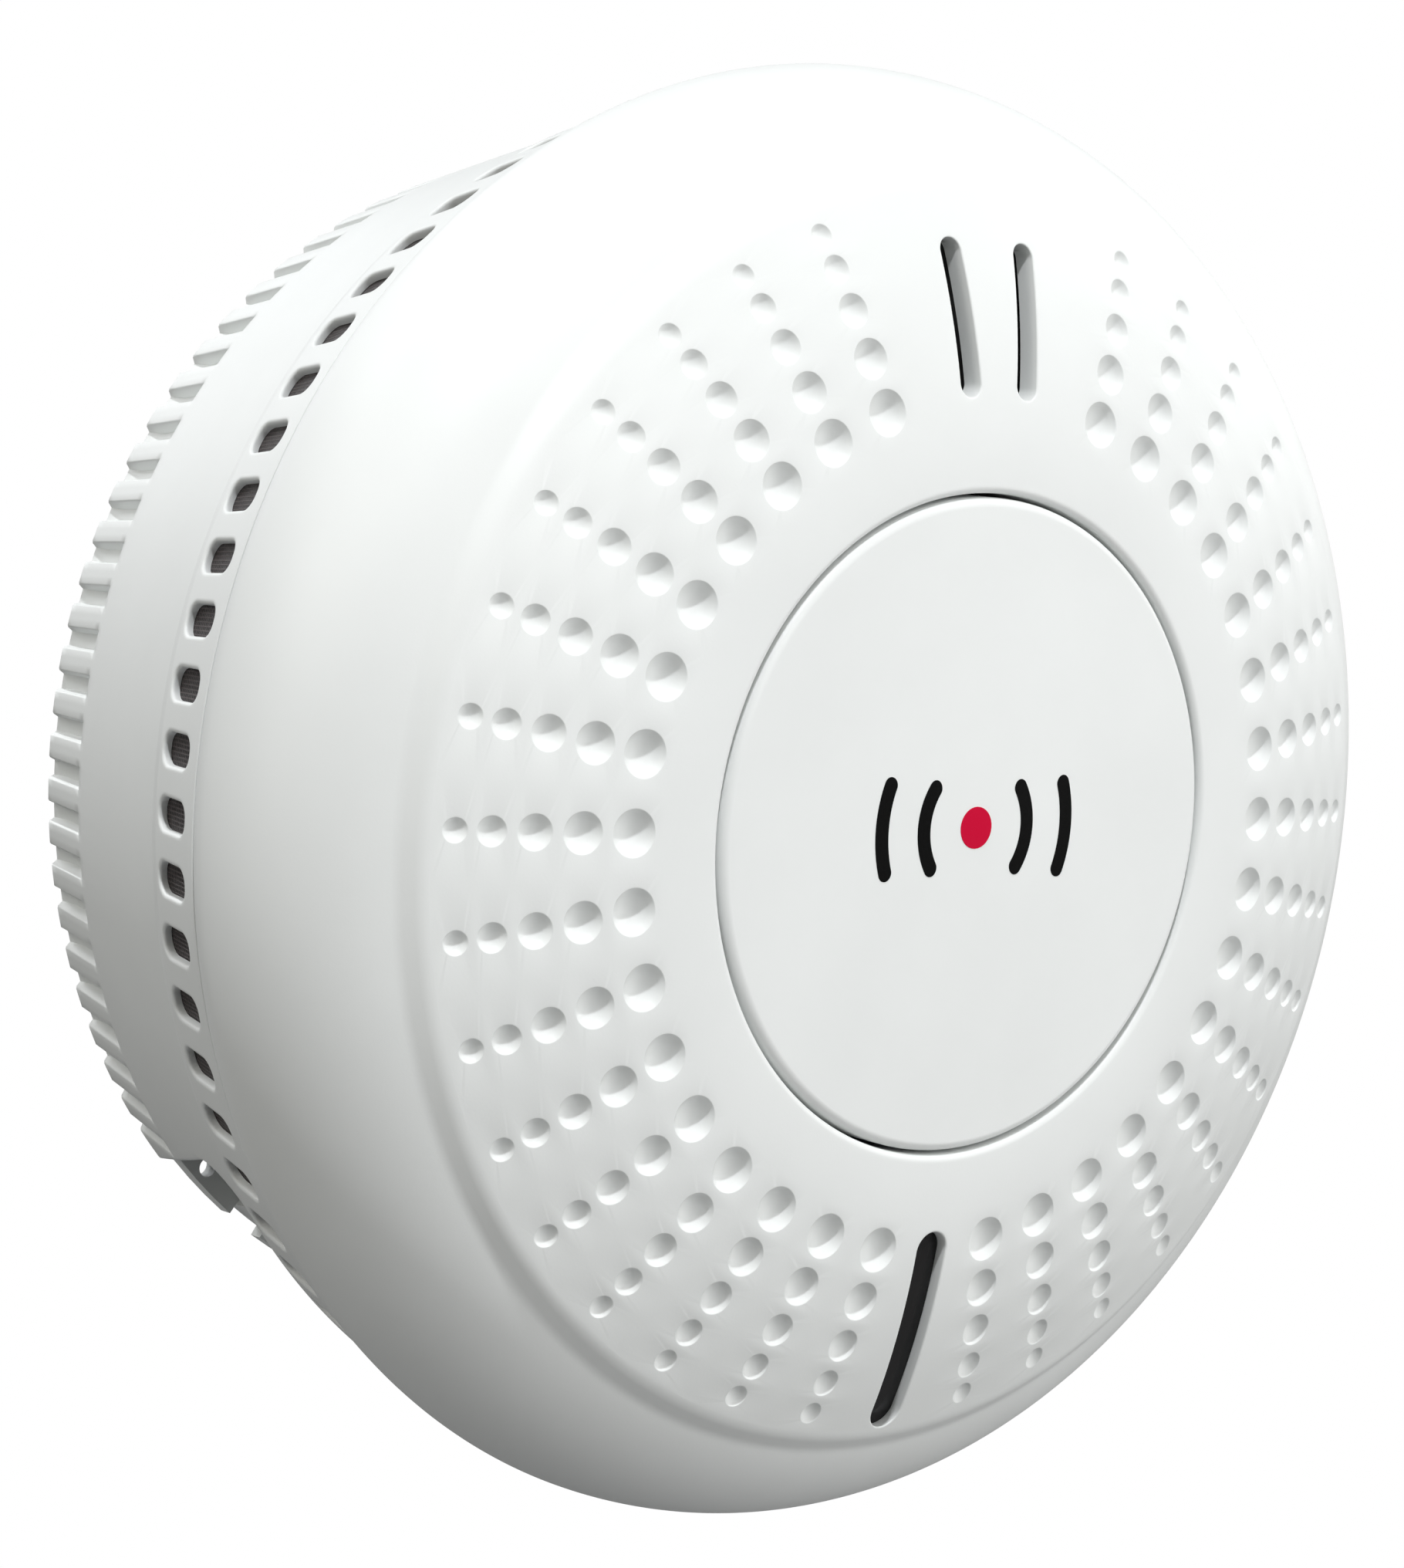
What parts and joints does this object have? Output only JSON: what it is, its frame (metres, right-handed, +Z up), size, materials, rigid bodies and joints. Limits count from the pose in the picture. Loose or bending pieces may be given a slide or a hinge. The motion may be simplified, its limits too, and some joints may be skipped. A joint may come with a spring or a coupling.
{
  "type": "carbon monoxide detector",
  "caption": "Round wall-mounted carbon monoxide alarm: domed white cover with rows of dimples, a large test button, sound slots, a status lens, side vents and a twist-off mounting plate.",
  "frame": {"origin": "centre of the mounting plate's rear face, on the wall plane", "axes": "+Y into the wall along the alarm's axis, -Y out of the face into the room, +Z up, +X to the right seen from the room"},
  "size_m": [0.11, 0.0515, 0.11],
  "materials": {
    "casing": "fine matt moulded white",
    "button": "fine matt moulded white, slightly smoother than the casing",
    "plate": "matt moulded white",
    "smoked_lens": "glossy smoked black",
    "black_plastic": "matt black",
    "board": "green solder mask",
    "steel": "plain bright steel",
    "spring_steel": "drawn spring wire",
    "brass": "rolled brass",
    "ceramic": "silvered ceramic",
    "foam": "closed-cell foam",
    "cell_wrap": "shrink sleeve",
    "filter_cloth": "charcoal cloth",
    "lamp_green": "tinted clear resin",
    "lamp_amber": "tinted clear resin",
    "lamp_red": "tinted clear resin",
    "copper": "enamelled copper winding",
    "label": "blank printed label",
    "screen": "dark woven insect screen"
  },
  "bodies": {
    "wall_plate": {"mounting_plate": "plate"},
    "alarm": {"base_shell": "casing", "vent_screen": "screen", "front_cover": "casing", "button_spring": "spring_steel", "switch_body": "black_plastic", "status_lens": "smoked_lens", "led_shroud": "black_plastic", "led_green": "lamp_green", "led_amber": "lamp_amber", "led_red": "lamp_red", "main_pcb": "board", "pcb_screws": "steel", "case_screws": "steel", "microcontroller": "black_plastic", "capacitor": "cell_wrap", "transformer": "copper", "sounder_housing": "black_plastic", "sounder_cap": "black_plastic", "sounder_gasket": "foam", "piezo_plate": "brass", "piezo_ceramic": "ceramic", "co_sensor_can": "steel", "co_sensor_cap": "plate", "co_sensor_filter": "filter_cloth", "co_sensor_pins": "steel", "battery_cell": "cell_wrap", "battery_holder": "black_plastic", "battery_contact_positive": "steel", "battery_contact_negative": "steel", "rating_label": "label"},
    "button": {"test_button": "button"},
    "plunger": {"switch_plunger": "ceramic"}
  },
  "joints": [
    {"name": "twist", "type": "hinge", "parent": "wall_plate", "child": "alarm", "pos_m": [0, 0, 0], "axis": [0, -1, 0], "range_deg": [0, 18]},
    {"name": "press", "type": "slide", "parent": "alarm", "child": "button", "axis": [0, 1, 0], "range_m": [0, 0.001], "stiffness_N_per_m": 400, "springref_m": -0.004, "deforming": ["button_spring"]},
    {"name": "plunger_slide", "type": "slide", "parent": "alarm", "child": "plunger", "axis": [0, 1, 0], "range_m": [0, 0.001]}
  ],
  "couplings": [
    {"joint": "plunger_slide", "follows": "press", "ratio": 1}
  ]
}
